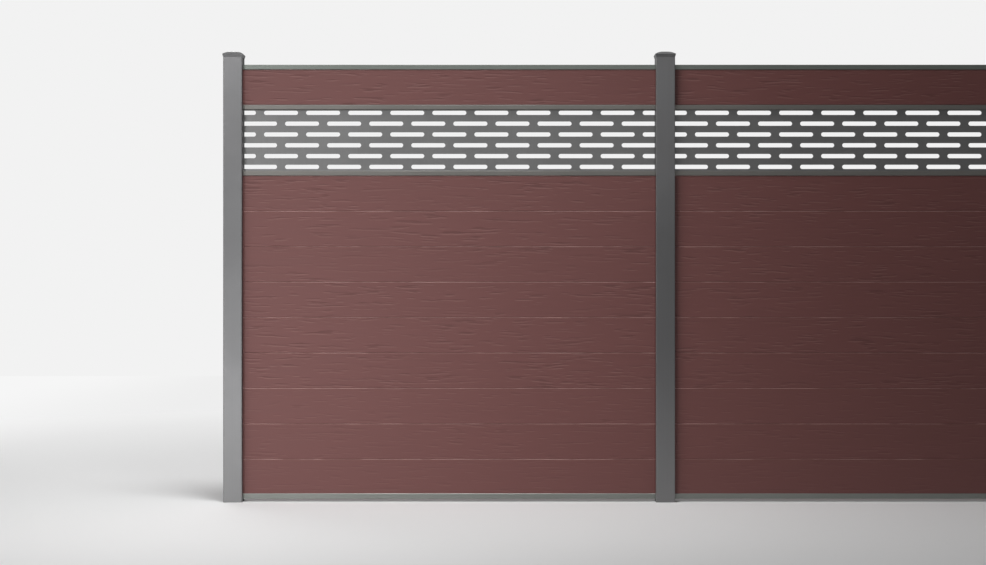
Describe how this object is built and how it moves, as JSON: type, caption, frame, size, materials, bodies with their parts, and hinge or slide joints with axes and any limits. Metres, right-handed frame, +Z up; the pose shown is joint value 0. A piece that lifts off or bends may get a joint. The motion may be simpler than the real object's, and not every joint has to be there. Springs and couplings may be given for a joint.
{
  "type": "composite privacy fence with slotted screen",
  "caption": "Privacy fence in bays: grooved square posts with domed caps hold tongue-and-groove composite boards, rails and a slotted metal screen.",
  "frame": {"origin": "middle of the foot of the middle post, at ground level", "axes": "+X along the fence, to the right seen from the front; the front faces -Y; +Z up"},
  "size_m": [3.7388, 0.0868, 1.905],
  "materials": {
    "post_metal": "grey powder coat, satin",
    "trim_metal": "light grey powder coat, satin",
    "composite": "reddish brown wood-fibre composite with fine embossed grain",
    "block_plastic": "black moulded plastic"
  },
  "bodies": {
    "root": {"bay_1_board_1": "composite", "bay_1_board_2": "composite", "bay_1_board_3": "composite", "bay_1_board_4": "composite", "bay_1_board_5": "composite", "bay_1_board_6": "composite", "bay_1_board_7": "composite", "bay_1_board_8": "composite", "bay_1_board_9": "composite", "bay_1_bottom_rail": "trim_metal", "bay_1_lower_trim": "trim_metal", "bay_1_rail_block_left": "block_plastic", "bay_1_rail_block_right": "block_plastic", "bay_1_screen": "post_metal", "bay_1_top_board": "composite", "bay_1_top_rail": "trim_metal", "bay_1_upper_trim": "trim_metal", "bay_2_board_1": "composite", "bay_2_board_2": "composite", "bay_2_board_3": "composite", "bay_2_board_4": "composite", "bay_2_board_5": "composite", "bay_2_board_6": "composite", "bay_2_board_7": "composite", "bay_2_board_8": "composite", "bay_2_board_9": "composite", "bay_2_bottom_rail": "trim_metal", "bay_2_lower_trim": "trim_metal", "bay_2_rail_block_left": "block_plastic", "bay_2_rail_block_right": "block_plastic", "bay_2_screen": "post_metal", "bay_2_top_board": "composite", "bay_2_top_rail": "trim_metal", "bay_2_upper_trim": "trim_metal", "end_cover_left": "post_metal", "end_cover_right": "post_metal", "post_1": "post_metal", "post_2": "post_metal", "post_3": "post_metal", "post_cap_1": "post_metal", "post_cap_2": "post_metal", "post_cap_3": "post_metal"}
  },
  "joints": []
}
